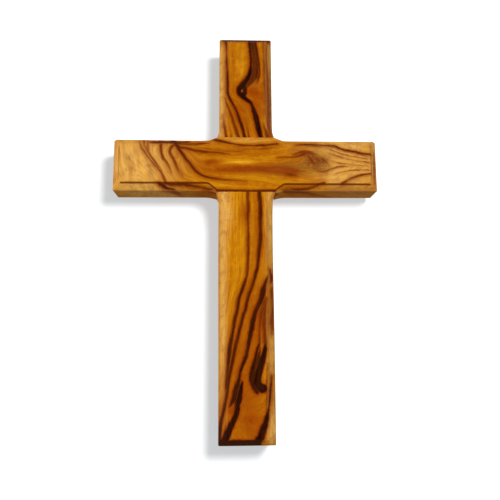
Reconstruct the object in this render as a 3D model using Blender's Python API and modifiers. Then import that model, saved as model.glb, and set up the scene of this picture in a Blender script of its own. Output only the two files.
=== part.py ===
"""A wall cross: two olive-wood boards in a glued cross lap, hung by the ring of a strap hanger.

Metres, +Z up. The origin is on the upright's back face, on its centre line, level with the inside of
the ring's top, where the nail bears. +X is to the right seen from the front and +Y is towards the
wall, so the back faces lie at Y = 0 and the front faces at Y = -THICKNESS.
"""

from math import asin, atan2, cos, pi, sin, sqrt

import bmesh
import bpy
from mathutils import Matrix, Vector

MM = 0.001

# Sizes of the two boards
HEIGHT = 200 * MM
SPAN = 130 * MM
THICKNESS = 17 * MM
UPRIGHT_WIDTH = 26.5 * MM
CROSSBAR_HEIGHT = 25 * MM
CROSSBAR_BELOW_TOP = 67.5 * MM
FRONT_LAP = 8.5 * MM

# Swell left at the crossing when the arms are sanded down after gluing
SWELL = 1.2 * MM
CROSSBAR_SWELL_RUN = 6.5 * MM
UPRIGHT_SWELL_RUN = 4.5 * MM

# 45 degree bevel round the front, cut by a bit whose bearing rolls along the edges
BEVEL = 3.5 * MM
BEARING_RADIUS = 9 * MM

# Strap hanger: one strip folded round the bar of the ring, and the ring itself
NAIL_BELOW_TOP = 15 * MM
STRAP_WIDTH = 9.5 * MM
SHEET = 0.7 * MM
FOLD_SLIT = 0.3 * MM
FOLD_RADIUS = 1.0 * MM
RING_WIRE_RADIUS = 1.0 * MM
RING_SIDE = 5.5 * MM
RING_SIDE_GAP = 0.75 * MM

# Pan-head screw through the strap
SCREW_RADIUS = 1.5 * MM
SCREW_LENGTH = 12 * MM
SCREW_POINT = 3.0 * MM
SCREW_HEAD_RADIUS = 3.2 * MM
SCREW_HEAD_HEIGHT = 2.0 * MM
SCREW_HEAD_RIM = 0.7 * MM
SCREW_HEAD_GAP = 1.3 * MM
RECESS_SPAN = 3.4 * MM
RECESS_WIDTH = 0.9 * MM
RECESS_DEPTH = 1.1 * MM
PILOT_SPARE = 0.5 * MM

# Clearance between pieces that touch, how far cutters overrun, and the fineness of round forms
FIT_GAP = 0.3 * MM
OVERRUN = 1.0 * MM
SWELL_STEPS = 8
BIT_STEPS = 12
BOW_STEPS = 24
CORNER_STEPS = 5
EYE_STEPS = 20
FOLD_STEPS = 6
DOME_STEPS = 6
TURNED_STEPS = 32
WIRE_RESOLUTION = 3
WELD = 0.000001

# Places worked out from the sizes
top = NAIL_BELOW_TOP
bottom = top - HEIGHT
crossing = top - CROSSBAR_BELOW_TOP
lap_half_width = UPRIGHT_WIDTH / 2 + SWELL
lap_half_height = CROSSBAR_HEIGHT / 2 + SWELL

eye_radius = RING_WIRE_RADIUS + FIT_GAP + SHEET / 2
eye_depth = FIT_GAP + SHEET / 2 + eye_radius
strap_back = FIT_GAP + SHEET + FOLD_SLIT + SHEET
ring_half_width = STRAP_WIDTH / 2 + RING_SIDE_GAP + RING_WIRE_RADIUS
ring_corner = RING_SIDE_GAP + RING_WIRE_RADIUS - FIT_GAP
ring_reach = RING_SIDE + ring_half_width
ring_lean = asin((eye_depth - FIT_GAP - RING_WIRE_RADIUS) / ring_reach)
eye_height = -(ring_reach - RING_WIRE_RADIUS) * cos(ring_lean)
screw_height = eye_height - ring_reach - RING_WIRE_RADIUS - SCREW_HEAD_GAP - SCREW_HEAD_RADIUS


def new_collection(name):
    collection = bpy.data.collections.new(name)
    bpy.context.scene.collection.children.link(collection)
    return collection


def finish_material(name, colour, roughness, metallic=0.0):
    """A Principled material with a plain colour."""
    material = bpy.data.materials.new(name)
    material.use_nodes = True
    shader = material.node_tree.nodes["Principled BSDF"]
    shader.inputs["Base Color"].default_value = (*colour, 1.0)
    shader.inputs["Roughness"].default_value = roughness
    shader.inputs["Metallic"].default_value = metallic
    return material


def add_object(name, data, collection, material=None):
    part = bpy.data.objects.new(name, data)
    collection.objects.link(part)
    if material:
        data.materials.append(material)
    return part


def add_cutter(name, data):
    cutter = add_object(name, data, cutters)
    cutter.hide_render = True
    cutter.display_type = "WIRE"
    return cutter


def box_mesh(name, low, high):
    """A box between two corners."""
    low, high = Vector(low), Vector(high)
    mesh = bpy.data.meshes.new(name)
    bm = bmesh.new()
    bmesh.ops.create_cube(bm, size=1.0)
    bmesh.ops.scale(bm, vec=high - low, verts=bm.verts)
    bmesh.ops.translate(bm, vec=(low + high) / 2, verts=bm.verts)
    bm.to_mesh(mesh)
    bm.free()
    return mesh


def cylinder_mesh(name, radius, start, end):
    """A cylinder along Y between two points that differ in Y alone."""
    start, end = Vector(start), Vector(end)
    mesh = bpy.data.meshes.new(name)
    bm = bmesh.new()
    bmesh.ops.create_cone(bm, cap_ends=True, segments=TURNED_STEPS, radius1=radius, radius2=radius,
                          depth=abs(end.y - start.y), matrix=Matrix.Rotation(pi / 2, 4, "X"))
    bmesh.ops.translate(bm, vec=(start + end) / 2, verts=bm.verts)
    bm.to_mesh(mesh)
    bm.free()
    return mesh


def plate(name, outline, near, far):
    """A flat outline, x to the right and z up, drawn as one face and extruded between two places in Y."""
    mesh = bpy.data.meshes.new(name)
    bm = bmesh.new()
    face = bm.faces.new([bm.verts.new((x, near, z)) for x, z in outline])
    moved = bmesh.ops.extrude_face_region(bm, geom=[face])
    verts = [item for item in moved["geom"] if isinstance(item, bmesh.types.BMVert)]
    bmesh.ops.translate(bm, vec=(0.0, far - near, 0.0), verts=verts)
    bmesh.ops.recalc_face_normals(bm, faces=bm.faces)
    bm.to_mesh(mesh)
    bm.free()
    return mesh


def cut(part, cutter, operation="DIFFERENCE"):
    boolean = part.modifiers.new(cutter.name, "BOOLEAN")
    boolean.operation = operation
    boolean.solver = "EXACT"
    boolean.object = cutter


def arc(centre, radius, start, end, steps):
    """Points on an arc from one angle to another, both ends included."""
    turn = (end - start) / steps
    angles = [start + turn * step for step in range(steps + 1)]
    return [(centre[0] + radius * cos(a), centre[1] + radius * sin(a)) for a in angles]


# Boards

def swell_points(run, edge):
    """One side of a board from the inner corner outwards, as (along, out from the middle).

    A hollow arc that is tangent to the sanded edge, run away from the corner, and SWELL above it there.
    """
    radius = (run * run + SWELL * SWELL) / (2 * SWELL)
    sweep = asin(run / radius)
    centre = (run, edge + radius)
    return arc(centre, radius, -pi / 2 - sweep, -pi / 2, SWELL_STEPS)


def board_outline(ends, lap_half_length, edge, run):
    """A board along x that is edge wide each way, and SWELL wider across the lap."""
    start, end = ends
    rise = [(lap_half_length + along, out) for along, out in swell_points(run, edge)]
    right_top = rise + [(end, edge)]
    right_bottom = [(x, -y) for x, y in reversed(right_top)]
    left_rise = [(-x, y) for x, y in rise]
    left_top = [(start, edge)] + left_rise[::-1]
    left_bottom = [(x, -y) for x, y in reversed(left_top)]
    return right_top + right_bottom + left_bottom + left_top


def upright_outline():
    along = board_outline((bottom - crossing, top - crossing), lap_half_height, UPRIGHT_WIDTH / 2,
                          UPRIGHT_SWELL_RUN)
    return [(-across, crossing + z) for z, across in along]


def crossbar_outline():
    along = board_outline((-SPAN / 2, SPAN / 2), lap_half_width, CROSSBAR_HEIGHT / 2,
                          CROSSBAR_SWELL_RUN)
    return [(x, crossing + across) for x, across in along]


def bevel_path(side, level):
    """The places that the bit's centre passes at one inner corner, as (x, z).

    It starts past an arm's end, turns where the bearing touches both boards, and stops past the
    upright's end.
    """
    centre_x = side * (UPRIGHT_WIDTH / 2 + BEARING_RADIUS)
    centre_z = crossing + level * (CROSSBAR_HEIGHT / 2 + BEARING_RADIUS)
    past_arm = side * (SPAN / 2 + OVERRUN)
    past_end = top + OVERRUN if level > 0 else bottom - OVERRUN
    return (past_arm, centre_z), (centre_x, centre_z), (centre_x, past_end)


def bevel_profile():
    """The bit's cutting triangle as (out from its axis, in from the front face)."""
    reach = BEARING_RADIUS + BEVEL + OVERRUN
    heel = BEARING_RADIUS - OVERRUN
    return [(reach, -OVERRUN), (heel, -OVERRUN), (heel, BEVEL + OVERRUN)]


def swept_bevel(name, path, side, level):
    """The bevel profile carried along an arm's edge, round the inner corner and along the upright."""
    past_arm, centre, past_end = path
    axis = Vector((centre[0], 0.0, centre[1]))
    bm = bmesh.new()
    corners = [bm.verts.new(axis + Vector((0.0, -THICKNESS + depth, -level * out)))
               for out, depth in bevel_profile()]
    start = bm.faces.new(corners)
    spun = bmesh.ops.spin(bm, geom=[start, *start.edges, *start.verts], cent=axis,
                          axis=(0.0, side * level, 0.0), angle=pi / 2, steps=BIT_STEPS)
    end = next(item for item in spun["geom_last"] if isinstance(item, bmesh.types.BMFace))
    carry(bm, end, Vector((0.0, 0.0, past_end[1] - centre[1])))
    carry(bm, start, Vector((past_arm[0] - centre[0], 0.0, 0.0)))
    bmesh.ops.recalc_face_normals(bm, faces=bm.faces)
    mesh = bpy.data.meshes.new(name)
    bm.to_mesh(mesh)
    bm.free()
    return mesh


def carry(bm, face, travel):
    """Extrude one end face of a sweep by a travel vector."""
    moved = bmesh.ops.extrude_face_region(bm, geom=[face])
    verts = [item for item in moved["geom"] if isinstance(item, bmesh.types.BMVert)]
    bmesh.ops.translate(bm, vec=travel, verts=verts)
    if face.is_valid:
        bmesh.ops.delete(bm, geom=[face], context="FACES_ONLY")


def end_bevel(name, centre, size, angle, axis):
    """A turned box whose lower face is the bevel plane across the end of an arm."""
    mesh = box_mesh(name, [-s / 2 for s in size], [s / 2 for s in size])
    mesh.transform(Matrix.Translation(centre) @ Matrix.Rotation(angle, 4, axis))
    return mesh


def end_bevels():
    """Cutters for the front edges of the four ends, as {name: cutter}."""
    depth = 2 * (BEVEL + OVERRUN)
    sink = (depth / 2 - BEVEL / sqrt(2)) / sqrt(2)
    wide = 2 * (lap_half_width + OVERRUN)
    tall = 2 * (lap_half_height + OVERRUN)
    front = -THICKNESS - sink
    places = {
        "right_end_bevel": ((SPAN / 2 + sink, front, crossing), (depth, depth, tall), "Z"),
        "left_end_bevel": ((-SPAN / 2 - sink, front, crossing), (depth, depth, tall), "Z"),
        "top_end_bevel": ((0.0, front, top + sink), (wide, depth, depth), "X"),
        "bottom_end_bevel": ((0.0, front, bottom - sink), (wide, depth, depth), "X"),
    }
    return {name: add_cutter(name, end_bevel(name, Vector(centre), size, pi / 4, axis))
            for name, (centre, size, axis) in places.items()}


def make_boards():
    """The two boards, each from its own outline, with its half of the lap and the bevels cut."""
    front, back = -THICKNESS, 0.0
    upright = add_object("upright", plate("upright", upright_outline(), front, back), model,
                         finish_material("olive_wood_upright", (0.52, 0.19, 0.012), 0.38))
    crossbar = add_object("crossbar", plate("crossbar", crossbar_outline(), front, back), model,
                          finish_material("olive_wood_crossbar", (0.60, 0.22, 0.016), 0.38))

    upright_notch = add_cutter("upright_notch", box_mesh(
        "upright_notch",
        (-lap_half_width - OVERRUN, front - OVERRUN, crossing - lap_half_height - FIT_GAP),
        (lap_half_width + OVERRUN, front + FRONT_LAP + FIT_GAP, crossing + lap_half_height + FIT_GAP)))
    crossbar_notch = add_cutter("crossbar_notch", box_mesh(
        "crossbar_notch",
        (-lap_half_width - FIT_GAP, front + FRONT_LAP, crossing - lap_half_height - OVERRUN),
        (lap_half_width + FIT_GAP, back + OVERRUN, crossing + lap_half_height + OVERRUN)))
    cut(upright, upright_notch)
    cut(crossbar, crossbar_notch)

    for side, side_name in ((-1, "left"), (1, "right")):
        for level, level_name in ((1, "upper"), (-1, "lower")):
            name = f"{level_name}_{side_name}_bevel"
            bevel = add_cutter(name, swept_bevel(name, bevel_path(side, level), side, level))
            cut(upright, bevel)
            cut(crossbar, bevel)
    ends = end_bevels()
    cut(upright, ends["top_end_bevel"])
    cut(upright, ends["bottom_end_bevel"])
    cut(crossbar, ends["left_end_bevel"])
    cut(crossbar, ends["right_end_bevel"])

    pilot_depth = SCREW_LENGTH - strap_back + PILOT_SPARE
    pilot = add_cutter("screw_pilot", cylinder_mesh(
        "screw_pilot", SCREW_RADIUS + FIT_GAP, (0.0, -pilot_depth, screw_height),
        (0.0, OVERRUN, screw_height)))
    cut(upright, pilot)
    cut(crossbar, pilot)


# Hanger

def strap_path():
    """The strip's middle line as (y, z): up the back, round the ring's bar, and down over itself."""
    lower = FIT_GAP + SHEET / 2
    upper = lower + SHEET + FOLD_SLIT
    bend_y = upper + FOLD_RADIUS
    bend_away = sqrt((eye_radius + FOLD_RADIUS) ** 2 - (bend_y - eye_depth) ** 2)
    bend = (bend_y, eye_height - bend_away)
    towards_bend = atan2(bend[1] - eye_height, bend[0] - eye_depth)
    eye = arc((eye_depth, eye_height), eye_radius, pi, towards_bend, EYE_STEPS)
    fold = arc(bend, FOLD_RADIUS, towards_bend + pi, pi, FOLD_STEPS)
    tail = screw_height - STRAP_WIDTH / 2 - OVERRUN
    return [(lower, tail)] + eye + fold[1:] + [(upper, tail)]


def make_strap():
    """The strip as a folded sheet, its end rounded about the screw, with the screw's hole."""
    half = STRAP_WIDTH / 2
    bm = bmesh.new()
    line = [bm.verts.new((-half - OVERRUN, y, z)) for y, z in strap_path()]
    edges = [bm.edges.new(pair) for pair in zip(line, line[1:])]
    swept = bmesh.ops.extrude_edge_only(bm, edges=edges)
    moved = [item for item in swept["geom"] if isinstance(item, bmesh.types.BMVert)]
    bmesh.ops.translate(bm, vec=(2 * (half + OVERRUN), 0.0, 0.0), verts=moved)
    mesh = bpy.data.meshes.new("hanger_strap")
    bm.to_mesh(mesh)
    bm.free()
    strap = add_object("hanger_strap", mesh, model, brass)
    solidify = strap.modifiers.new("sheet", "SOLIDIFY")
    solidify.thickness = SHEET
    solidify.offset = 0.0
    solidify.use_even_offset = True

    above_eye = eye_height + eye_radius + SHEET + OVERRUN
    rounded_end = arc((0.0, screw_height), half, pi, 2 * pi, TURNED_STEPS // 2)
    outline = [(half, above_eye), (-half, above_eye)] + rounded_end
    blank = add_cutter("strap_outline", plate("strap_outline", outline, -OVERRUN,
                                              eye_depth + eye_radius + SHEET + OVERRUN))
    cut(strap, blank, "INTERSECT")
    hole = add_cutter("strap_hole", cylinder_mesh(
        "strap_hole", SCREW_RADIUS + FIT_GAP, (0.0, -OVERRUN, screw_height),
        (0.0, strap_back + OVERRUN, screw_height)))
    cut(strap, hole)


def ring_path():
    """The D of the ring's wire as (x, z), with its bar on the hinge axis."""
    half, corner = ring_half_width, ring_corner
    right_corner = arc((half - corner, corner), corner, -pi / 2, 0.0, CORNER_STEPS)
    bow = arc((0.0, RING_SIDE), half, 0.0, pi, BOW_STEPS)
    left_corner = arc((corner - half, corner), corner, pi, 3 * pi / 2, CORNER_STEPS)
    return right_corner + bow + left_corner


def make_ring():
    """The ring, parented to an empty on the hinge that leans it onto the upright's back."""
    hinge = add_object("ring_hinge", None, model)
    hinge.location = (0.0, eye_depth, eye_height)
    hinge.rotation_euler.x = ring_lean
    path = ring_path()
    curve = bpy.data.curves.new("hanger_ring", "CURVE")
    curve.dimensions = "3D"
    curve.render_resolution_u = 0
    curve.bevel_depth = RING_WIRE_RADIUS
    curve.bevel_resolution = WIRE_RESOLUTION
    spline = curve.splines.new("POLY")
    spline.points.add(len(path) - 1)
    for point, (x, z) in zip(spline.points, path):
        point.co = (x, 0.0, z, 1.0)
    spline.use_cyclic_u = True
    ring = add_object("hanger_ring", curve, model, brass)
    ring.parent = hinge


def screw_profile():
    """Half of the screw's outline as (radius, height over the strap), from the head's middle down."""
    rise = SCREW_HEAD_HEIGHT - SCREW_HEAD_RIM
    angles = [pi / 2 * (1 - step / DOME_STEPS) for step in range(DOME_STEPS + 1)]
    dome = [(SCREW_HEAD_RADIUS * cos(a), SCREW_HEAD_RIM + rise * sin(a)) for a in angles]
    dome[0] = (0.0, SCREW_HEAD_HEIGHT)
    tip_height = -SCREW_LENGTH
    shank = [(SCREW_HEAD_RADIUS, 0.0), (SCREW_RADIUS, 0.0), (SCREW_RADIUS, tip_height + SCREW_POINT),
             (0.0, tip_height)]
    return dome + shank


def make_screw():
    """The screw, turned about its own axis, with a cross recess, and laid along Y."""
    mesh = bpy.data.meshes.new("hanger_screw")
    bm = bmesh.new()
    line = [bm.verts.new((radius, 0.0, height)) for radius, height in screw_profile()]
    for pair in zip(line, line[1:]):
        bm.edges.new(pair)
    bm.to_mesh(mesh)
    bm.free()
    zinc = finish_material("zinc_screw", (0.62, 0.60, 0.55), 0.3, 1.0)
    screw = add_object("hanger_screw", mesh, model, zinc)
    screw.location = (0.0, strap_back + FIT_GAP, screw_height)
    screw.rotation_euler.x = -pi / 2
    turned = screw.modifiers.new("turned", "SCREW")
    turned.steps = TURNED_STEPS
    turned.render_steps = TURNED_STEPS
    turned.use_merge_vertices = True
    turned.merge_threshold = WELD

    recess_top = strap_back + FIT_GAP + SCREW_HEAD_HEIGHT
    for name, reach_x, reach_z in (("recess_across", RECESS_SPAN, RECESS_WIDTH),
                                   ("recess_along", RECESS_WIDTH, RECESS_SPAN)):
        slot = add_cutter(name, box_mesh(
            name, (-reach_x / 2, recess_top - RECESS_DEPTH, screw_height - reach_z / 2),
            (reach_x / 2, recess_top + OVERRUN, screw_height + reach_z / 2)))
        cut(screw, slot)


for old in list(bpy.data.objects):
    bpy.data.objects.remove(old)
model = new_collection("wall_cross")
cutters = new_collection("cutters")
brass = finish_material("brass", (0.72, 0.50, 0.20), 0.28, 1.0)

make_boards()
make_strap()
make_ring()
make_screw()
bpy.context.view_layer.update()
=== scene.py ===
from math import cos, pi, radians, sin, sqrt

import bpy
import numpy as np
from mathutils import Matrix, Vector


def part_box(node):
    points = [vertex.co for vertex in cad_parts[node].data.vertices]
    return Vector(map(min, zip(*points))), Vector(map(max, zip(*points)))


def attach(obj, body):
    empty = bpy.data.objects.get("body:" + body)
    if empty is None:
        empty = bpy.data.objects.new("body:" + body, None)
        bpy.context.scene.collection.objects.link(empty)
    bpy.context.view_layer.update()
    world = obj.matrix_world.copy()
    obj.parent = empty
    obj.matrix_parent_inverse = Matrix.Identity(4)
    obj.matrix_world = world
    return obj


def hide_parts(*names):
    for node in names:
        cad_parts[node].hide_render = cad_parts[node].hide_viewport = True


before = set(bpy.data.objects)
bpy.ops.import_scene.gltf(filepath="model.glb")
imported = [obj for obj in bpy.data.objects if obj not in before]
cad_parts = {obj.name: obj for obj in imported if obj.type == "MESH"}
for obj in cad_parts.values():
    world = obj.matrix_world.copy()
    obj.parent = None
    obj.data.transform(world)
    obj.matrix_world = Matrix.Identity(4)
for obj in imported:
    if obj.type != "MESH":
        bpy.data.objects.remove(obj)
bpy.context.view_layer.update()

# The upright: one olive-wood board, planed, notched in front for the crossbar and glued there. Its
# front edges are cut with a bearing-guided bevel bit, then it is sanded, oiled and polished. The
# tree's heart shows as dark growth lines that swerve round a knot near the top.

MM = 0.001
upright_low, upright_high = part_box("upright")
foot = upright_low.z / MM
head = upright_high.z / MM
crossing_below_head = 67.9
crossing = head - crossing_below_head
board_thickness = 17.0
lap_depth = 8.5
upright_half = 13.25
crossbar_half = 12.5
swell_rise = 1.2
glue_line = 0.1
end_bevel = 3.5
arris_ease = 0.4
cap_rings = 22


def soft_positive(value, softness):
    """The value where it is positive and 0 elsewhere, with the kink rounded: half of the value plus
    root(value^2 + softness^2)."""
    return 0.5 * (value + np.sqrt(value**2 + softness**2))


def ramp(value, low, high):
    """0 below low, 1 above high and an S curve (3t^2 - 2t^3) between."""
    t = np.clip((value - low) / (high - low), 0, 1)
    return t * t * (3 - 2 * t)


def swell(distance, start, run):
    """How far an edge stands out near the crossing: the full rise up to start, then a hollow arc of
    radius (run^2 + rise^2) / (2 rise) that dies into the straight edge after the run."""
    radius = (run**2 + swell_rise**2) / (2 * swell_rise)
    left = np.clip(start + run - distance, 0, run)
    arc = radius - np.sqrt(radius**2 - left**2)
    return np.where(distance < start, swell_rise, arc)


def bevel_cut(distance, half, straight_half, bevel, slope, meet, start, bend):
    """Width on the front and depth at the edge of the cut, which is the width times the slope. Beyond
    the start its inner line is straight; nearer the crossing it leaves that line by (share of the
    way)^bend, and it has gone out by the whole of what is asked at the first number of meet."""
    share = soft_positive((start - distance) / (start - meet[0]), 0.06)
    line = straight_half - bevel + (meet[1] - straight_half + bevel) * share**bend
    width = np.maximum(half - line, 0)
    return width, width * (slope - 0.2 * np.clip(share, 0, 1))


def eased_outlines(corners, eases, counts):
    """Closed outlines, one per station. Each corner is a parabola that starts and ends its ease away
    from the corner, and each edge between two of them is divided evenly into its count."""
    to_before = np.roll(corners, 1, axis=1) - corners
    to_after = np.roll(corners, -1, axis=1) - corners
    long_before = np.linalg.norm(to_before, axis=2, keepdims=True)
    long_after = np.linalg.norm(to_after, axis=2, keepdims=True)
    ease = np.minimum(np.array(eases)[None, :, None], 0.45 * np.minimum(long_before, long_after))
    start = corners + to_before / long_before * ease
    end = corners + to_after / long_after * ease
    turn = np.linspace(0, 1, 5)[:, None]
    pieces = []
    for i, count in enumerate(counts):
        corner = corners[:, i, None]
        begin, stop = start[:, i, None], end[:, i, None]
        pieces.append((1 - turn) ** 2 * begin + 2 * turn * (1 - turn) * corner + turn**2 * stop)
        step = np.linspace(0, 1, count + 2)[1:-1, None]
        ahead = start[:, (i + 1) % len(counts), None]
        pieces.append(stop + step * (ahead - stop))
    return np.concatenate(pieces, axis=1)


def board_outlines(left, right, front, back):
    """Outlines across a board, u across it and w out from the wall. Each side gives its half width, the
    width of its bevel and the bevel's depth; the back corners are eased more than the arrises."""
    across = (right[0], right[0], right[0] - right[1], left[1] - left[0], -left[0], -left[0])
    outwards = (back, front - right[2], front, front, front - left[2], back)
    corners = np.stack([np.stack(across, axis=1), np.stack(outwards, axis=1)], axis=2)
    eases = (0.7, 0.45, 0.35, 0.35, 0.45, 0.7)
    return eased_outlines(corners, eases, (24, 16, 84, 16, 24, 40)), corners


def tube_faces(rings, round_count, closed=False):
    """Quads between neighbouring rings, and two fans to the two last points unless the tube is closed."""
    here = np.arange(rings if closed else rings - 1)[:, None]
    column = np.arange(round_count)[None, :]
    ahead, next_column = (here + 1) % rings, (column + 1) % round_count
    quads = [here * round_count + column, ahead * round_count + column]
    quads += [ahead * round_count + next_column, here * round_count + next_column]
    quads = np.stack(quads, axis=2).reshape(-1, 4)
    if closed:
        return quads, np.zeros((0, 3), int)
    pole = np.full(round_count, rings * round_count)
    fan, fan_ahead = column[0], next_column[0]
    low = np.stack([fan, fan_ahead, pole], axis=1)
    top = (rings - 1) * round_count
    high = np.stack([top + fan_ahead, top + fan, pole + 1], axis=1)
    return quads, np.concatenate([low, high])


def swept_board(outlines, along):
    """Points and faces of a closed solid: the outlines in order along the board, then each end filled
    with copies of its last outline that shrink evenly to a point."""
    shrink = np.linspace(0, 1, cap_rings + 1)[1:-1]
    rings, places = [], []
    for end in (0, -1):
        outline = outlines[end]
        middle = (outline.min(axis=0) + outline.max(axis=0)) / 2
        rings.append(middle + (outline - middle) * (1 - shrink[:, None, None]))
        places.append(np.full(len(shrink), along[end]))
    grid = np.concatenate([rings[0][::-1], outlines, rings[1]])
    height = np.concatenate([places[0], along, places[1]])
    middles = [(r[-1].min(axis=0) + r[-1].max(axis=0)) / 2 for r in rings]
    points = np.column_stack([grid.reshape(-1, 2), np.repeat(height, grid.shape[1])])
    poles = np.column_stack([middles, [along[0], along[-1]]])
    quads, triangles = tube_faces(*grid.shape[:2])
    return np.concatenate([points, poles]), quads[:, [0, 3, 2, 1]], triangles[:, [1, 0, 2]]


def new_piece(name, points, quads, triangles, turned=False):
    """A smooth-shaded mesh object from points in millimetres, with its faces turned over if asked."""
    if turned:
        quads, triangles = quads[:, ::-1], triangles[:, ::-1]
    mesh = bpy.data.meshes.new(name)
    mesh.from_pydata((points * MM).tolist(), [], quads.tolist() + triangles.tolist())
    mesh.polygons.foreach_set("use_smooth", np.ones(len(mesh.polygons), dtype=bool))
    mesh.update()
    piece = bpy.data.objects.new(name, mesh)
    bpy.context.scene.collection.objects.link(piece)
    return piece


def smooth_line(points):
    """Points about 1 mm apart on a Catmull-Rom curve: each span is the cubic through its two ends whose
    slopes there are half the way between the neighbours."""
    p = np.array(points, float)
    p = np.concatenate([[2 * p[0] - p[1]], p, [2 * p[-1] - p[-2]]])
    t = np.linspace(0, 1, 6)[:-1, None, None]
    a, b, c, d = p[:-3], p[1:-2], p[2:-1], p[3:]
    slope_b, slope_c = (c - a) / 2, (d - b) / 2
    cubic = b + t * slope_b + t**2 * (3 * (c - b) - 2 * slope_b - slope_c)
    cubic = cubic + t**3 * (2 * (b - c) + slope_b + slope_c)
    return np.concatenate([cubic.transpose(1, 0, 2).reshape(-1, p.shape[1]), p[-2:-1]])


def claim(gap, tone):
    """How strongly a line claims a point: its darkness in it and close by, less a little with the gap."""
    return tone * np.clip(0.7 - gap, 0, 1) - 0.01 * np.maximum(gap, 0)


def dark_lines(x, height, lines):
    """For each point, the gap to the edge of a dark line (its distance less the line's half width there,
    so negative inside) and how dark that line is. The line is the one that would darken the point
    most, or else the nearest. The gap grows faster on a line's left hand, going along it from its first
    point, than on its right, where the wood is stained further."""
    gap, tone, best = np.full(len(x), 9.0), np.zeros(len(x)), np.full(len(x), -9.0)
    for darkness, points in lines:
        line = smooth_line(points)
        near = np.abs(x - line[:, 0].mean()) < np.ptp(line[:, 0]) / 2 + 6
        near &= np.abs(height - line[:, 1].mean()) < np.ptp(line[:, 1]) / 2 + 6
        here = np.column_stack([x[near], height[near]])
        begin, step = line[:-1], np.diff(line, axis=0)
        to_point = here[:, None, :] - begin[None, :, :2]
        length_2 = (step[:, :2] ** 2).sum(axis=1) + 1e-9
        share = np.clip((to_point * step[None, :, :2]).sum(axis=2) / length_2, 0, 1)
        apart = np.linalg.norm(to_point - share[:, :, None] * step[None, :, :2], axis=2)
        this_gap = apart - begin[:, 2] - share * step[:, 2]
        nearest = this_gap.argmin(axis=1)
        row = np.arange(len(nearest))
        this_gap = this_gap[row, nearest]
        from_line, way = to_point[row, nearest], step[nearest]
        on_left = from_line[:, 0] * way[:, 1] < from_line[:, 1] * way[:, 0]
        this_gap = np.where(this_gap > 0, this_gap * np.where(on_left, 1.35, 0.8), this_gap)
        score = claim(this_gap, darkness)
        closer = score > best[near]
        best[near] = np.where(closer, score, best[near])
        gap[near] = np.where(closer, this_gap, gap[near])
        tone[near] = np.where(closer, darkness, tone[near])
    return gap, tone


def with_front_lines(gap, tone, x, height, depth, lines):
    """The gap and tone with lines added that lie in the front only and fade from 4 to 10 mm deep."""
    front_gap, front_tone = dark_lines(x, height, lines)
    front_gap = front_gap + 3 * ramp(depth, 4, 10)
    wins = claim(front_gap, front_tone) > claim(gap, tone)
    return np.where(wins, front_gap, gap), np.where(wins, front_tone, tone)


def grain_field(x, height, flow):
    """Place across the grain: a thin plate (a plane plus weights times r^2 log r) bent through the value
    given to each flow line, so that fine streaks follow the lines and part round the knots."""
    known = np.array([(*point[:2], value) for value, points in flow for point in points], float)
    known[:, :2] /= 10
    gaps = np.linalg.norm(known[:, None, :2] - known[None, :, :2], axis=2)
    plate = np.where(gaps > 0, gaps**2 * np.log(gaps + 1e-12), 0) + 0.02 * np.eye(len(known))
    plane = np.column_stack([np.ones(len(known)), known[:, :2]])
    whole = np.block([[plate, plane], [plane.T, np.zeros((3, 3))]])
    weights = np.linalg.solve(whole, np.concatenate([known[:, 2], np.zeros(3)]))
    here = np.column_stack([x, height]) / 10
    value = weights[-3] + here @ weights[-2:]
    for (px, ph, _), weight in zip(known, weights):
        away = (here[:, 0] - px) ** 2 + (here[:, 1] - ph) ** 2 + 1e-12
        value = value + weight * 0.5 * away * np.log(away)
    return value


def stain(x, height, patches):
    """Sum of soft round-edged patches, each amount * exp(-(distance in its own radii)^2), kept within -1
    and 1. A negative smoke is clear gold wood, and no patches give none."""
    total = np.zeros(len(x))
    for amount, px, ph, rx, rh in patches:
        total = total + amount * np.exp(-(((x - px) / rx) ** 2) - ((height - ph) / rh) ** 2)
    return np.clip(total, -1, 1)


def on_arrises(outlines, corners, amounts, reach=0.45):
    """How near a point is to its outline's arrises: the sum of amount * exp(-(distance / reach)^2)."""
    near = np.zeros(outlines.shape[:2])
    for corner, amount in amounts:
        away = np.linalg.norm(outlines - corners[:, corner, None], axis=2)
        near = near + amount * np.exp(-((away / reach) ** 2))
    return near


def store(piece, name, columns):
    """Puts three columns of numbers on the piece's points as one vector attribute."""
    attribute = piece.data.attributes.new(name, "FLOAT_VECTOR", "POINT")
    attribute.data.foreach_set("vector", np.column_stack(columns).astype(np.float32).ravel())


def with_close_pairs(low, high, step, marks):
    """Stations from low to high about a step apart, closer near the two ends, with the marks among them."""
    close = np.array([0, 0.03, 0.07, 0.12, 0.18, 0.25, 0.33, 0.42, 0.6, 0.8])
    even = np.linspace(low + 1.1, high - 1.1, int((high - low) / step))
    clear = np.min(np.abs(even[:, None] - np.array(marks)[None, :]), axis=1) > 0.3 * step
    return np.sort(np.concatenate([low + close, even[clear], high - close, marks]))


def end_shape(distance):
    """For a board's end, the recess of its bevel in the front face (the bevel's size less the distance
    to the end) and the inset of its eased arris (a quarter circle)."""
    recess = soft_positive(end_bevel - distance, 0.3)
    near = np.clip(arris_ease - distance, 0, arris_ease)
    return recess, arris_ease - np.sqrt(arris_ease**2 - near**2)


def side_with_ends(half, width, depth, recess, inset):
    """A board's side where the end's bevel cuts into the side's one, so that the two meet in a mitre. The
    cut never goes quite to nothing, so that no edge of the outline has no length."""
    left_over = 1 - np.clip(recess / np.maximum(depth, 0.01), 0, 0.985)
    return half - inset, np.maximum(width * left_over, 0.04), np.maximum(depth * left_over, 0.03)


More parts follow.
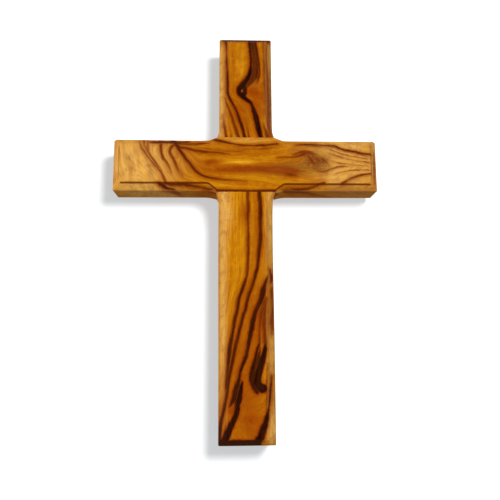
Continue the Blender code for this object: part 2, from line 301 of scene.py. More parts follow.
def put_figure(piece, points, figure, lines, fade, front_lines, eye, flow, stains, arris, grain_place):
    """Stores a board's figure on its points, read at the given places of the figure: the grain field, the
    dark lines with their gap grown by the fade, those of the front only, holes in them, the stains with the
    painted highlights among them, and the arrises' painted highlights and shadow line."""
    gap, tone = dark_lines(*figure, lines)
    true_place = points[:, 0], points[:, 2] - foot
    depth = board_thickness + points[:, 1]
    gap, tone = with_front_lines(gap + fade, tone, *true_place, depth, front_lines)
    gap = gap + 3 * stain(*true_place, eye)
    # The arrises' painted highlights (above 0) and painted shadow line (below 0) go in the third column of
    # the line attribute.
    arris_highlight_and_shadow = np.zeros(len(points))
    arris_highlight_and_shadow[(cap_rings - 1) * arris.shape[1] :][: arris.size] = arris.ravel()
    store(piece, "grain", (grain_field(*figure, flow), *grain_place))
    store(piece, "line", (gap, tone, arris_highlight_and_shadow))
    # The stain attribute's middle column holds pale wood and painted highlights.
    store(piece, "stain", [stain(*figure, patches) for patches in stains])


# Up the board: straight edges that stand out at the crossing. Lower down the left one bulges and the
# right one is hollow, each by a bell curve. In the notch the front is its floor, with square edges.
notch_start = crossbar_half + swell_rise
notch_end = notch_start + glue_line
upright_marks = [crossing + s * (notch_end + d) for s in (-1, 1) for d in (0, 0.03, 0.15, 0.4)]
upright_z = with_close_pairs(foot, head, 0.62, upright_marks)
from_crossing = np.abs(upright_z - crossing)
in_notch = from_crossing < notch_end + 0.01
half = upright_half + swell(from_crossing, notch_start, 4.5)
bulge, hollow = 0.25, 0.35
left_half = half + bulge * np.exp(-(((upright_z - foot - 90) / 35) ** 2))
right_half = half - hollow * np.exp(-(((upright_z - foot - 92) / 32) ** 2))
floor_margin, square_edge = 3.5, 0.03
recess, inset = end_shape(np.minimum(upright_z - foot, head - upright_z))
sides = []
for side_half, bevel, start in ((left_half, 4.0, 26.0), (right_half, 3.8, 24.0)):
    cut = bevel_cut(from_crossing, side_half, upright_half, bevel, 1.0, (13.9, 12.7), start, 1.6)
    edge, width, drop = side_with_ends(side_half, *cut, recess, inset)
    width = np.where(in_notch, floor_margin, width)
    sides.append((edge, width, np.where(in_notch, square_edge, drop)))
upright_set_back = 0.25
upright_front = board_thickness - upright_set_back - recess - inset
upright_front = np.where(in_notch, lap_depth - glue_line / 2, upright_front)
outlines, corners = board_outlines(*sides, upright_front, inset)
points, quads, triangles = swept_board(outlines, upright_z)
upright_points = np.column_stack([points[:, 0], -points[:, 1], points[:, 2]])
upright = new_piece("upright_board", upright_points, quads, triangles, turned=True)
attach(upright, "cross")
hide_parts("upright")

# Its dark growth lines, each point an x, a height above the foot and the line's half width there. The
# list after them gives each its darkness, 0 to 1.
inner_low = [
    (0.4, 142, 0.5), (0.6, 132, 0.5), (0.8, 118.4, 0.5), (0.9, 114.7, 0.5), (1.05, 110.5, 0.55),
    (0.8, 104.5, 0.45), (0.9, 100, 0.35), (1.05, 96.3, 0.45), (0.9, 91, 0.45), (0.8, 85.8, 0.4),
    (0.5, 80.5, 0.4), (0, 76.8, 0.45), (-1.05, 73.7, 0.5),
]
inner_foot = [
    (0.6, 83, -0.15), (0.45, 79.8, 0.1), (0, 76.8, 0.3), (-1.05, 73.7, 0.5), (-2.4, 70, 0.55),
    (-3.4, 67.4, 0.55), (-4.1, 64.2, 0.55), (-4.6, 61, 0.55), (-5.6, 56.4, 0.5), (-6.4, 52, 0.5),
    (-7.2, 47.6, 0.65), (-7.9, 43.7, 0.85), (-8.3, 40.3, 0.75), (-8.8, 36, 0.45), (-9.2, 30, 0.45),
    (-9.4, 26, 0.4),
]
heart_low = [
    (7.4, 143, 1), (6.9, 131, 0.75), (6.3, 118.4, 0.65), (6.6, 114.7, 0.7), (6.8, 110.5, 0.75),
    (6.7, 105.3, 0.7), (6.7, 100, 0.65), (6.8, 96.3, 0.75), (6.3, 92, 0.7), (5.9, 88.4, 0.55),
    (5.5, 84.2, 0.5), (5, 81, 0.55), (4.2, 77.9, 0.55), (3.2, 74.2, 0.55), (2.1, 71, 0.5), (0.8, 67.4, 0.5),
    (0, 64.7, 0.5), (-0.8, 61, 0.5), (-1.7, 58.7, 0.55), (-2.8, 54.2, 0.6), (-3.9, 49.8, 0.55),
    (-5, 45.3, 0.6), (-5.8, 42, 0.6), (-6.7, 38.1, 0.6), (-7.5, 34.2, 0.6), (-8.3, 30.3, 0.6),
    (-8.9, 26.4, 0.55), (-9.2, 23.1, 0.55), (-9.8, 19.5, 0.65), (-10.9, 15, 0.6), (-12, 10, 0.7),
    (-12.5, 5.3, 0.8), (-12.6, 2, 0.9), (-12.4, -8, 0.7),
]
outer_low = [
    (10, 76.8, 0), (9.2, 75.3, 0.4), (8.3, 72.5, 0.8), (7.6, 69.5, 1.2), (6.7, 66, 1), (5.4, 63.2, 0.75),
    (4.2, 60.9, 0.8), (3.2, 57.6, 0.9), (2.5, 53.7, 0.95), (1.7, 50.9, 0.95), (1.1, 47.6, 0.85),
    (0.3, 43.7, 0.7), (-0.4, 40.3, 0.65), (-1.4, 37.6, 0.6), (-2.8, 34.2, 0.6), (-3.6, 30.9, 0.65),
    (-4.4, 27.6, 0.85), (-5.2, 24.2, 1.05), (-6, 21.4, 1), (-7.1, 19.2, 0.5), (-8, 17.6, 0),
]
lobe_fill = [(-3.2, 28, 0), (-4.1, 25.6, 0.6), (-4.8, 23, 0.9), (-5.3, 20.6, 0.7), (-5.8, 18, 0)]
lobe = [
    (-2.2, 28.2, 0.3), (-2.7, 26, 0.7), (-3.2, 23.5, 1), (-3.6, 21.4, 1.1), (-4.2, 18.7, 1),
    (-4.7, 15.3, 1), (-5.8, 12.6, 1.1), (-7.2, 9.8, 1.3), (-8.5, 7, 1.4), (-9.5, 4.2, 1.5), (-10, 2, 1.5),
    (-10.5, -8, 1.2),
]
hook = [
    (8.7, 45.5, 0.3), (8.3, 43, 0.8), (7.6, 40.5, 1.1), (6.8, 38, 1.4), (6.1, 35.5, 1.5), (5.4, 33, 1.6),
    (4.7, 30.3, 1.7), (4.8, 28, 1.7), (6, 26.2, 1.9), (7.1, 25.6, 1.9),
]
hook_flank = [
    (5.7, 45.5, 0.1), (4.6, 42, 0.4), (3.5, 38, 0.7), (2.6, 34, 0.9), (2, 31, 0.9), (2.3, 28, 0.9),
    (3.4, 25.5, 0.9), (4.6, 24, 0.7),
]
hook_fill = [(6.2, 44, 0), (5.4, 40, 0.7), (4.5, 36, 0.9), (3.6, 32, 0.8), (3.6, 29, 0.8), (4.4, 26.5, 0.7)]
right_foot = [
    (11.5, 31, 0.1), (10.9, 26, 0.25), (10.3, 21, 0.3), (9.5, 16, 0.4), (8.7, 12.2, 0.8), (7.7, 8.8, 1.3),
    (6.8, 6.2, 1.5), (5.7, 3.8, 1.6), (4.8, 2, 1.6), (2.6, -8, 1.3),
]
foot_arris = [(9.3, 37, 0), (9.1, 28, 0.25), (9, 20, 0.3), (8.8, 14, 0.4)]
brown_one = [
    (9.3, 67, 0.4), (8.3, 63.5, 0.8), (7.2, 60, 0.9), (6.4, 57, 0.5), (6, 53, 0.25), (5.9, 49, 0.2),
    (5.8, 45.5, 0.3), (5, 43, 0.2),
]
brown_two = [(8.5, 62, 0.3), (8.1, 57, 0.5), (8, 53, 0.5), (8.3, 49, 0.6), (8.6, 45.5, 0.7)]
bark_fleck = [(11.2, 80.3, 0.2), (11.5, 78.4, 0.5), (11.9, 76, 0.5), (11.7, 74.2, 0.1)]
bark_low = [
    (12, 71.5, 0.1), (11.8, 69.5, 0.5), (12.1, 66, 0.2), (12.2, 61, 0.2), (11.9, 56, 0.5), (12, 50, 0.1),
]
foot_band = [(-12, 1.6, 1.6), (-4, 1.4, 1.7), (3, 1.4, 1.6), (4.2, 1.3, 1.2)]
inner_top = [
    (-9.9, 197.6, 0.5), (-9.6, 195, 0.2), (-9.5, 190, 0.1), (-9.3, 184, 0.25), (-9.1, 178, 0.4),
    (-9, 172, 0.45), (-8.8, 169, 0.45), (-8.2, 166.8, 0.5), (-7.2, 164.8, 0.4), (-5.8, 162, 0.4),
    (-4.3, 158.8, 0.45), (-3.2, 155.5, 0.55), (-2.1, 152, 0.55), (-1.2, 149, 0.5), (0.4, 142, 0.5),
]
second_top = [
    (-10.2, 167, -0.1), (-9.5, 164.5, 0.1), (-8.3, 160.3, 0.25), (-6.9, 156.3, 0.4), (-5.5, 152, 0.5),
    (-4.4, 148.5, 0.6), (-3.5, 145, 0.6), (-2.2, 138, 0.3), (-1.2, 130, -0.3),
]
third_top = [
    (-11, 158, -0.2), (-10.8, 154, 0.1), (-10.4, 150.5, 0.4), (-9.9, 147, 0.5), (-9.6, 144, 0.5),
    (-9.2, 135, -0.1),
]
faint_top = [(-8.2, 153, -0.3), (-7.5, 149, 0.05), (-7, 145, 0.2)]
seam_smear = [(0.5, 153, -0.3), (1.1, 149, 0.1), (1.5, 145, 0.3)]
heart_top = [
    (2, 200, 0.6), (2.1, 196, 0.6), (2.4, 191, 0.45), (2.8, 186, 0.45), (2.5, 182.3, 0.55), (1.9, 179, 0.8),
    (0.6, 176.2, 1.1), (-1.3, 173.7, 1.4), (-2.8, 172, 1.3), (-3.3, 170.2, 1), (-2.7, 168.4, 1.1),
    (-1.2, 166.8, 1), (0.6, 165.5, 0.85), (1.6, 164.8, 0.8), (2.5, 163.8, 0.8), (3.2, 162.5, 0.8),
    (3.8, 160.8, 0.85), (4.3, 159, 0.95), (4.8, 157.2, 1.05), (5.6, 153.6, 1.2), (6.3, 150.4, 1.15),
    (7, 146.7, 1), (7.4, 143, 1),
]
heart_eye = [
    (-1.2, 173.2, 1), (-0.5, 171.8, 1), (-0.5, 170.2, 0.95), (-0.8, 168.8, 0.95), (-1.6, 167.8, 0.8),
]
heart_edge = [
    (4.9, 200, 0.6), (5, 196.5, 0.6), (5.2, 194, 0.5), (5.9, 190.4, 0.4), (6.5, 186.2, 0.35),
    (6.8, 182.5, 0.3), (6.9, 179.4, 0.3), (6.4, 176.7, 0.1), (5.6, 174.5, -0.2),
]
heart_band = [
    (3.5, 200, 1.5), (3.6, 196, 1.5), (4.3, 191.5, 1.5), (4.8, 187.5, 1.4), (4.9, 182, 1.5),
    (4.8, 178.6, 1.5), (3.4, 176.2, 1.2), (1.9, 174.4, 1), (0.7, 172.6, 0.5),
]
heart_streak = [
    (3.4, 200, 1), (3.5, 196, 0.9), (4.2, 191.5, 0.5), (5.2, 187, 0.35), (5.7, 182.5, 0.4), (5.4, 179, 0.6),
    (4, 177.6, 0.4), (2.4, 176.4, 0.4),
]
heart_dark = [(3, 187, -0.1), (3.2, 183, 0.15), (2.8, 180.4, 0.5), (1.8, 177.8, 0.6)]
top_end = [(-11, 198.9, 0.7), (-4, 198.9, 0.7), (4, 198.9, 0.8), (11.5, 198.9, 0.8)]
right_top = [
    (9.2, 197.5, 0.3), (9.3, 190, 0.15), (9.4, 183, 0.3), (9.3, 176, 0.25), (9.4, 168, 0.15), (9.5, 158, 0),
]
right_seam = [(8.9, 153, -0.2), (9.3, 150.5, 0.3), (10.4, 147.2, 0.8), (11.2, 144, 0.8), (12, 136, 0)]
bevel_top = [
    (11.2, 199, 0.4), (10.9, 195, 0.3), (10.6, 190, 0.1), (10.8, 184, 0.3), (11.1, 178, 0.4),
    (11.2, 170, 0.5), (11.3, 162, 0.5), (11.2, 155, 0.6), (11.5, 149, 0.8), (12, 144, 0.9),
]
upright_lines = [
    (0.68, inner_low), (0.9, inner_foot), (0.88, heart_low), (0.95, outer_low), (1, lobe), (1, hook),
    (0.86, lobe_fill), (0.96, hook_flank), (0.9, hook_fill), (1, right_foot), (0.5, foot_arris),
    (0.6, brown_one), (0.65, brown_two), (0.8, bark_fleck), (0.6, bark_low), (0.92, inner_top),
    (0.68, second_top), (0.55, third_top), (0.35, faint_top), (0.4, seam_smear), (1, heart_top),
    (0.9, heart_edge), (0.8, heart_band), (0.45, right_top), (0.55, right_seam), (0.32, bevel_top),
    (0.85, heart_streak), (0.9, heart_dark), (0.75, top_end),
]

# How its grain flows: lines of equal place across the grain, most of them the growth lines.
left_edge = [(-13.2, 197), (-13.2, 185), (-13.3, 170), (-13.3, 158)]
left_low = [(-13.3, 118), (-13.3, 105), (-13.3, 92), (-12.6, 78), (-13.3, 66)]
right_edge = [(13.2, 197), (13.2, 180), (13.2, 160), (13.2, 146), (13.2, 120), (13.2, 100), (13.2, 86)]
right_low = [(13.2, 55), (11.5, 35), (12.5, 22), (13, 10)]
upright_flow = [
    (-5, left_edge), (-13.5, left_low), (13, right_edge), (18.5, right_low), (1.1, inner_low),
    (1.1, inner_foot), (6.1, heart_low), (11.5, outer_low), (1.1, inner_top), (-2.6, second_top),
    (-6.3, third_top), (6.1, heart_top), (8.5, right_top), (15.5, hook),
]

# Where the wood is redder, paler and smokier: amount, x, height above the foot, and the two radii.
upright_red = [
    (0.3, 0, 188, 14, 30), (0.7, 3.2, 170.4, 3.4, 2.2), (0.6, 6, 166, 4, 6), (0.6, -2, 158, 9, 9),
    (0.75, -0.9, 107.5, 2, 6), (0.4, 3.8, 101, 2.4, 12), (0.85, 7.5, 55, 5, 13), (0.6, -1, 46, 5, 14),
    (0.92, 2, 13, 9, 14), (0.5, -4, 30, 5, 12), (0.3, 9, 92, 4, 12), (0.9, -7.5, 16.5, 1.6, 3),
    (0.5, 2, 67, 5, 10),
]
# Pale patches: paler wood, and painted highlights along both bevels from the top to the foot.
upright_pale_and_highlights = [
    (0.9, -12.6, 180, 2.6, 40), (1.1, -10.9, 100, 1.6, 34), (0.45, -12.8, 110, 1.6, 60),
    (0.9, -11, 45, 1.5, 26), (0.95, 11.6, 102, 2, 22), (0.9, 12, 172, 1.8, 34), (0.75, 11.4, 42, 2, 16),
    (0.7, -8.5, 109, 2, 9), (1.3, 11.5, 6, 2.2, 9),
]
upright_smoke = [
    (0.5, 4.8, 187, 2.2, 8), (0.5, 3.8, 175, 3, 2), (1, 11.8, 163, 1.8, 26), (-0.4, -2.5, 185, 3, 9),
    (0.5, 8.5, 58, 2.5, 8), (0.5, 12.6, 66, 1.6, 12), (0.9, -2, 170.1, 0.6, 0.9),
]
upright_eye = [(0.36, -2, 170.2, 0.36, 0.5)]

# The growth lines run through the board: behind the front the figure shifts, narrows and thins out.
depth = board_thickness + upright_points[:, 1]
behind = soft_positive(depth - 4.5, 1)
figure_x = upright_points[:, 0] * (1 - 0.022 * behind) - 0.12 * behind
figure_height = upright_points[:, 2] - foot - 0.8 * behind
fade = 0.05 * behind + 0.35 * behind * ramp(figure_x, 9.8, 11)
to_end = np.minimum(upright_points[:, 2] - foot, head - upright_points[:, 2])
put_figure(
    upright,
    upright_points,
    (figure_x, figure_height),
    upright_lines,
    fade,
    [(1, foot_band), (1, heart_eye)],
    upright_eye,
    upright_flow,
    (upright_red, upright_pale_and_highlights, upright_smoke),
    # Painted highlights along the bevels' arrises.
    on_arrises(outlines, corners, ((1, 0.4), (2, 0.4), (3, 0.4), (4, 0.5))),
    (upright_points[:, 2], depth + 4 * ramp(to_end, 3.3, 2.7)),
)

# The wood's finish: gold wood in fine streaks along the grain, redder towards the heart and paler in the
# sapwood, with dark lines that bleed a little, short pores, and a satin oil polish. Painted highlights
# lighten the bevels and arrises, and a painted shadow line darkens the crossbar's lower arris.


def paint(red, green, blue):
    """The linear colour of a colour as it shows on a screen, 0 to 255: ((c + 0.055) / 1.055)^2.4."""
    return (*(((c / 255 + 0.055) / 1.055) ** 2.4 for c in (red, green, blue)), 1.0)


def add_node(tree, kind, *values, choices=(), **named):
    """A shader node with its choices made. The values go to its inputs in order and the named ones by
    name, an underscore for a space, each as a link from an output or as the input's own value."""
    node = tree.nodes.new("ShaderNode" + kind)
    for name, choice in choices:
        setattr(node, name, choice)
    fed = list(zip(node.inputs, values))
    fed += [(node.inputs[name.replace("_", " ")], value) for name, value in named.items()]
    for socket, value in fed:
        if isinstance(value, bpy.types.NodeSocket):
            tree.links.new(value, socket)
        else:
            socket.default_value = value
    return node


def reckon(tree, operation, *values, clamp=False):
    """The result of a sum, a product or the like."""
    choices = (("operation", operation), ("use_clamp", clamp))
    return add_node(tree, "Math", *values, choices=choices).outputs[0]


def times(tree, first, second, clamp=False):
    """The product of two values."""
    return reckon(tree, "MULTIPLY", first, second, clamp=clamp)


def minus(tree, first, second, clamp=False):
    """The first value less the second."""
    return reckon(tree, "SUBTRACT", first, second, clamp=clamp)


def stretch(tree, vector, factors):
    """A vector multiplied by three factors."""
    return add_node(tree, "VectorMath", vector, factors, choices=(("operation", "MULTIPLY"),)).outputs[0]


def noise(tree, vector, scale, detail=2.0, roughness=0.5, distortion=0.0):
    """A noise texture's value."""
    look = {"Scale": scale, "Detail": detail, "Roughness": roughness, "Distortion": distortion}
    return add_node(tree, "TexNoise", Vector=vector, **look).outputs["Fac"]


def between(tree, value, low, high, from_value=0.0, to_value=1.0):
    """An S-shaped step: from_value where the value is low, to_value where it is high."""
    limits = {"From_Min": low, "From_Max": high, "To_Min": from_value, "To_Max": to_value}
    smooth = (("interpolation_type", "SMOOTHSTEP"),)
    return add_node(tree, "MapRange", Value=value, choices=smooth, **limits).outputs["Result"]


def blend(tree, share, first, second):
    """A colour mix: the first where the share is 0, the second where it is 1."""
    in_colour = (("data_type", "RGBA"),)
    return add_node(tree, "Mix", Factor=share, A=first, B=second, choices=in_colour).outputs["Result"]


def new_group(name, inputs, outputs):
    """An empty node group with named inputs and outputs, and its two end nodes."""
    tree = bpy.data.node_groups.new(name, "ShaderNodeTree")
    for side, sockets in (("INPUT", inputs), ("OUTPUT", outputs)):
        for socket, kind in sockets:
            tree.interface.new_socket(socket, in_out=side, socket_type=kind)
    return tree, tree.nodes.new("NodeGroupInput").outputs, tree.nodes.new("NodeGroupOutput").inputs


def new_material(piece, name):
    """A new material on the piece: its node tree."""
    material = bpy.data.materials.new(name)
    material.use_nodes = True
    piece.data.materials.append(material)
    return material.node_tree


def show_effect(tree, effect, bump_height):
    """Feeds an effect's colour, roughness and height (in millimetres, as a bump) to the shader."""
    bump = add_node(tree, "Bump", Distance=bump_height * MM, Height=effect["Height"])
    shader = tree.nodes["Principled BSDF"]
    tree.links.new(effect["Color"], shader.inputs["Base Color"])
    tree.links.new(effect["Roughness"], shader.inputs["Roughness"])
    tree.links.new(bump.outputs["Normal"], shader.inputs["Normal"])
    return shader


number, triple, colour = "NodeSocketFloat", "NodeSocketVector", "NodeSocketColor"
olive_inputs = [("Grain", triple), ("Line", triple), ("Stain and highlight", triple)]
olive_outputs = [("Color", colour), ("Roughness", number), ("Height", number)]
olive_wood, given, made = new_group("olive_wood", olive_inputs, olive_outputs)
tree = olive_wood
line_gap, line_tone, arris_light_share = add_node(tree, "SeparateXYZ", given["Line"]).outputs
red, pale_and_highlight, smoke = add_node(tree, "SeparateXYZ", given["Stain and highlight"]).outputs
behind_front = add_node(tree, "SeparateXYZ", given["Grain"]).outputs[2]
unpolished = between(tree, behind_front, 3.0, 4.4)
fine = noise(tree, stretch(tree, given["Grain"], (1, 0.05, 0.4)), 2.2, 4.0, 0.6, 0.3)
broad = noise(tree, stretch(tree, given["Grain"], (0.4, 0.02, 0.2)), 1.0)
mottle = noise(tree, stretch(tree, given["Grain"], (0.3, 0.28, 0.3)), 1.0, distortion=0.5)
pore = noise(tree, stretch(tree, given["Grain"], (5, 0.7, 2)), 1.0, 1.0)
ragged = noise(tree, stretch(tree, given["Grain"], (1, 0.25, 0.5)), 2.4, 3.0, 0.6)
wander = noise(tree, stretch(tree, given["Grain"], (0.6, 0.16, 0.3)), 1.0, 1.0)

# Colours laid over one another, each by its share: the growth and its stains, streaks, glow and pores.
gold = between(tree, smoke, -1.0, 0.0, 1.0, 0.0)
streaks = times(tree, between(tree, fine, 0.34, 0.68), minus(tree, 0.54, times(tree, pale_and_highlight, 0.24)))
clouded = times(tree, between(tree, mottle, 0.36, 0.54, 0.42, 0.0), pale_and_highlight, clamp=True)
glowing = times(tree, between(tree, mottle, 0.45, 0.75), minus(tree, 0.3, times(tree, red, 0.2)))
pores = times(tree, between(tree, pore, 0.62, 0.72), 0.35)
smoky = times(tree, smoke, between(tree, ragged, 0.25, 0.6, 0.45, 1.0), clamp=True)

# A dark line: a red halo, a brown edge and a core with light streaks in it, all with ragged borders.
raggedness = reckon(tree, "ADD", minus(tree, ragged, 0.5), minus(tree, wander, 0.5))
near = reckon(tree, "ADD", line_gap, times(tree, raggedness, 0.9))
halo = times(tree, between(tree, near, 0.0, 2.6, 0.75, 0.0), line_tone)
edge = times(tree, between(tree, near, 0.0, 0.9, 0.8, 0.0), line_tone)
core = between(tree, near, -0.3, 0.4, 1.0, 0.0)
line_brown = blend(tree, line_tone, paint(162, 66, 0), paint(32, 1, 0))
light_streak = times(tree, between(tree, fine, 0.3, 0.65, 0.45, 0.0), minus(tree, 1.15, line_tone))
line_brown = blend(tree, light_streak, line_brown, paint(170, 92, 26))

# Arrises get a painted highlight where no line crosses them, or a painted shadow line, and behind the front
# the polish ends.
bare = minus(tree, 1.0, times(tree, core, line_tone), clamp=True)
arris_highlight = times(tree, between(tree, arris_light_share, 0.1, 0.6, 0.0, 0.22), bare)
arris_shadow = between(tree, arris_light_share, -0.75, -0.15, 0.88, 0.0)
wood = blend(tree, between(tree, broad, 0.35, 0.65), paint(222, 150, 14), paint(198, 116, 5))
for share, shade in (
    (red, paint(158, 64, 0)),
    # Pale wood, and painted highlights.
    (pale_and_highlight, paint(240, 182, 90)),
    (gold, paint(246, 174, 34)),
    (streaks, paint(148, 72, 6)),
    (clouded, paint(176, 104, 36)),
    (glowing, paint(240, 160, 12)),
    (pores, paint(96, 44, 6)),
    (smoky, paint(114, 68, 30)),
    (halo, paint(158, 66, 0)),
    (edge, paint(118, 36, 0)),
    (core, line_brown),
    # Painted highlight and painted shadow line on the arrises.
    (arris_highlight, paint(226, 160, 80)),
    (arris_shadow, paint(92, 30, 2)),
    (times(tree, unpolished, 0.22), paint(84, 42, 12)),
):
    wood = blend(tree, share, wood, shade)
polish = between(tree, fine, 0.25, 0.8, 0.36, 0.48)
tree.links.new(wood, made["Color"])
tree.links.new(reckon(tree, "ADD", polish, times(tree, unpolished, 0.45)), made["Roughness"])
tree.links.new(minus(tree, times(tree, fine, 0.5), pores), made["Height"])


def finish_wood(piece, name, offset):
    """Gives a board its olive-wood material: the shared figure read from the piece's own attributes."""
    tree = new_material(piece, name)
    grain, line, stains = (
        add_node(tree, "Attribute", choices=(("attribute_name", attribute),)).outputs["Vector"]
        for attribute in ("grain", "line", "stain")
    )
    place = add_node(tree, "VectorMath", grain, (offset, offset, 0)).outputs[0]
    figure = add_node(tree, "Group", place, line, stains, choices=(("node_tree", olive_wood),))
    shader = show_effect(tree, figure.outputs, 0.03)
    shader.inputs["Specular IOR Level"].default_value = 0.04
    shader.inputs["Specular Tint"].default_value = (1, 0.55, 0.16, 1)
    shader.inputs["Coat Weight"].default_value = 0.01
    shader.inputs["Coat Roughness"].default_value = 0.2


finish_wood(upright, "upright_olive", 0.0)

# The crossbar: a second olive-wood board, notched behind, so that its wood runs across the whole
# front of the joint. Its front stands a hair proud of the upright's, and its arms were sanded down
# after gluing, which left the small swells in the four inner corners.

crossbar_low, crossbar_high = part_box("crossbar")
left_end = crossbar_low.x / MM
right_end = crossbar_high.x / MM
# Along the board: as in the upright, but its top edge rises a little towards the left end, the bevel is
# shallow above and steep below, and the notch is in the back.
lap_start = upright_half + swell_rise
lap_end = lap_start + glue_line
marks = (lap_end, lap_end + 0.03, lap_end + 0.15, 12.5, 13.0, 13.5)
crossbar_marks = [s * d for s in (-1, 1) for d in marks]
crossbar_x = with_close_pairs(left_end, right_end, 0.55, crossbar_marks)
from_middle = np.abs(crossbar_x)
half = crossbar_half + swell(from_middle, lap_start, 6.5)
end_rise = 0.3
top_half = half + end_rise * ramp(-crossbar_x, 18, 62)
recess, inset = end_shape(np.minimum(crossbar_x - left_end, right_end - crossbar_x))
under_bevel = np.interp(crossbar_x, (-20, 20), (3.0, 2.5))
sides = []
for side_half, bevel, slope in ((half, under_bevel, 1.15), (top_half, 2.5, 0.55)):
    cut = bevel_cut(from_middle, side_half, crossbar_half, bevel, slope, (13.4, 13.7), 18.6, 1.15)
    sides.append(side_with_ends(side_half, *cut, recess, inset))
crossbar_set_back = 0.05
crossbar_front = board_thickness - crossbar_set_back - recess - inset
crossbar_back = np.where(from_middle < lap_end + 0.01, lap_depth + glue_line / 2, inset)
outlines, corners = board_outlines(*sides, crossbar_front, crossbar_back)
points, quads, triangles = swept_board(outlines, crossbar_x)
crossbar_points = np.column_stack([points[:, 2], -points[:, 1], crossing + points[:, 0]])
crossbar = new_piece("crossbar_board", crossbar_points, quads, triangles)
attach(crossbar, "cross")
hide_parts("crossbar")

# Its growth lines: they fall steeply from the top edge on the left arm, run level over the joint and
# part round a smoky knot on the right arm.
far_left = [
    (-52.3, 145, -0.1), (-51.8, 142.8, 0.15), (-50.9, 140, 0.25), (-49.5, 138.2, 0.25), (-48, 136, 0.22),
    (-46, 133.5, 0.22), (-44.5, 131.5, 0.25), (-42.5, 129.3, 0.28), (-41, 127.5, 0.3), (-39.8, 125, 0.32),
    (-38.8, 122.8, 0.4),
]
next_left = [
    (-50, 144.3, 0.4), (-49.6, 141.6, 0.25), (-48.3, 139, 0.2), (-47, 136.5, 0.2), (-45.5, 134.5, 0.18),
    (-44.2, 132.5, 0.15), (-43, 130.7, 0), (-42, 129, -0.2),
]
bend_one = [
    (-48, 144.3, 0.3), (-47.9, 141, 0.28), (-47.5, 138.5, 0.25), (-46.4, 136.4, 0.18), (-44.8, 134.3, 0.12),
    (-43.3, 132.3, 0.08), (-41.8, 130.3, 0), (-40.5, 128, -0.2),
]
bend_two = [
    (-42.2, 144.3, 0.5), (-41.7, 142, 0.4), (-41.5, 139.5, 0.3), (-41, 137, 0.28), (-40, 134.7, 0.25),
    (-38.6, 133, 0.22), (-37.5, 131, 0.12), (-36.8, 129.3, -0.05), (-36, 127.5, -0.3),
]
bend_three = [
    (-34.8, 142.3, 0.5), (-36.2, 140.8, 0.5), (-37.1, 139, 0.4), (-36.8, 137.4, 0.33), (-36, 135.6, 0.28),
    (-34.9, 133.8, 0.3), (-34.2, 132, 0.3), (-33.4, 130.3, 0.22), (-32, 128, 0), (-30.5, 126, -0.3),
]
strong = [
    (-36, 144.2, 0.9), (-34.4, 142.5, 0.8), (-33, 140.2, 0.6), (-32, 138.5, 0.55), (-30.5, 136.5, 0.5),
    (-29.2, 134.5, 0.45), (-27.5, 132.5, 0.42), (-26, 130.5, 0.38), (-24.4, 128.5, 0.35), (-22.5, 127, 0.3),
    (-20.5, 126, 0.26), (-18, 125.3, 0.22), (-15, 124.8, 0.18), (-11, 124.4, 0.05), (-6, 124, -0.1),
    (0, 123.7, -0.3),
]
upper_fan = [
    (-34, 142, 0.5), (-32.4, 140.6, 0.45), (-29.5, 140.1, 0.38), (-26, 139.3, 0.3), (-23, 138.8, 0.3),
    (-20, 138.3, 0.32), (-17, 138.1, 0.25), (-14, 137.9, 0.12), (-10.5, 137.6, -0.1), (-8, 137.4, -0.3),
]
top_line = [
    (-33, 142.4, 0.4), (-29, 142.1, 0.28), (-24.5, 142.3, 0.28), (-19.5, 142.7, 0.18), (-17.5, 143.2, -0.1),
]
top_edge = [
    (-47, 143.4, 0.1), (-44, 143.2, 0.4), (-40, 143.4, 0.35), (-37, 143.2, 0.5), (-34, 143, 0.6),
    (-31.5, 143.2, 0.3), (-28, 143.6, 0.1),
]
lens = [
    (-15.5, 144.4, 0.5), (-13.5, 144.1, 0.4), (-11, 143.5, 0.25), (-8, 142.8, 0.2), (-5, 142.25, 0.18),
    (-2, 141.85, 0.18), (3, 141.65, 0.18), (8, 141.85, 0.2), (11.5, 142.15, 0.25), (15.3, 142.6, 0.28),
]
parallel = [(-25, 141.3, 0), (-16, 139.5, 0.12), (-8.5, 138.6, 0.12), (-1, 138.6, -0.1)]
parallel_right = [(-1.5, 139.9, 0), (7, 140, 0.12), (13, 140.7, 0.1), (17.5, 141.6, 0)]
far_end = [
    (24, 142, -0.1), (26, 142.1, 0.25), (30, 142.35, 0.35), (34, 142.25, 0.3), (38, 141.85, 0.15),
    (41.5, 141.8, 0.25), (44, 141.5, 0.4), (46, 140.5, 0.35), (48, 139.75, 0.33), (50.5, 139.25, 0.33),
    (53.5, 138.75, 0.36), (56, 138.1, 0.38), (59, 137.6, 0.38), (61.5, 137.35, 0.35),
]
thin_left = [
    (15, 135.6, -0.2), (18, 135.8, 0.05), (21, 135.9, 0.12), (24, 136.1, 0.18), (26, 136.5, 0.22),
    (27.8, 137, 0.3), (29, 137.6, 0.3),
]
knot_top = [
    (22.5, 136.8, 0), (24.5, 137.6, 0.3), (26.5, 138.3, 0.4), (29, 138.5, 0.55), (31.5, 138.3, 0.45),
    (33.5, 137.6, 0.1),
]
knot_streak = [
    (30.4, 137, -0.4), (31.2, 135.6, 0.05), (32.2, 134, 0.15), (33.3, 132.6, 0), (34.6, 131.4, -0.5),
]
knot_one = [(33.2, 136, -0.5), (34.4, 135.2, 0.05), (35.6, 134.5, 0.05), (36.6, 133.6, -0.5)]
knot_two = [(36.2, 135.9, -0.5), (37.5, 135, 0.05), (38.7, 134, 0.1), (39.8, 132.8, 0), (40.7, 131.4, -0.4)]
knot_foot = [
    (33.5, 129.8, -0.5), (35.2, 129, -0.1), (37, 128.5, 0.2), (39, 128.8, 0.25), (41, 129.6, 0.15),
    (43, 130.3, 0.15), (45, 130.9, 0.2), (48, 131.2, 0.08), (49.5, 131.3, -0.2),
]
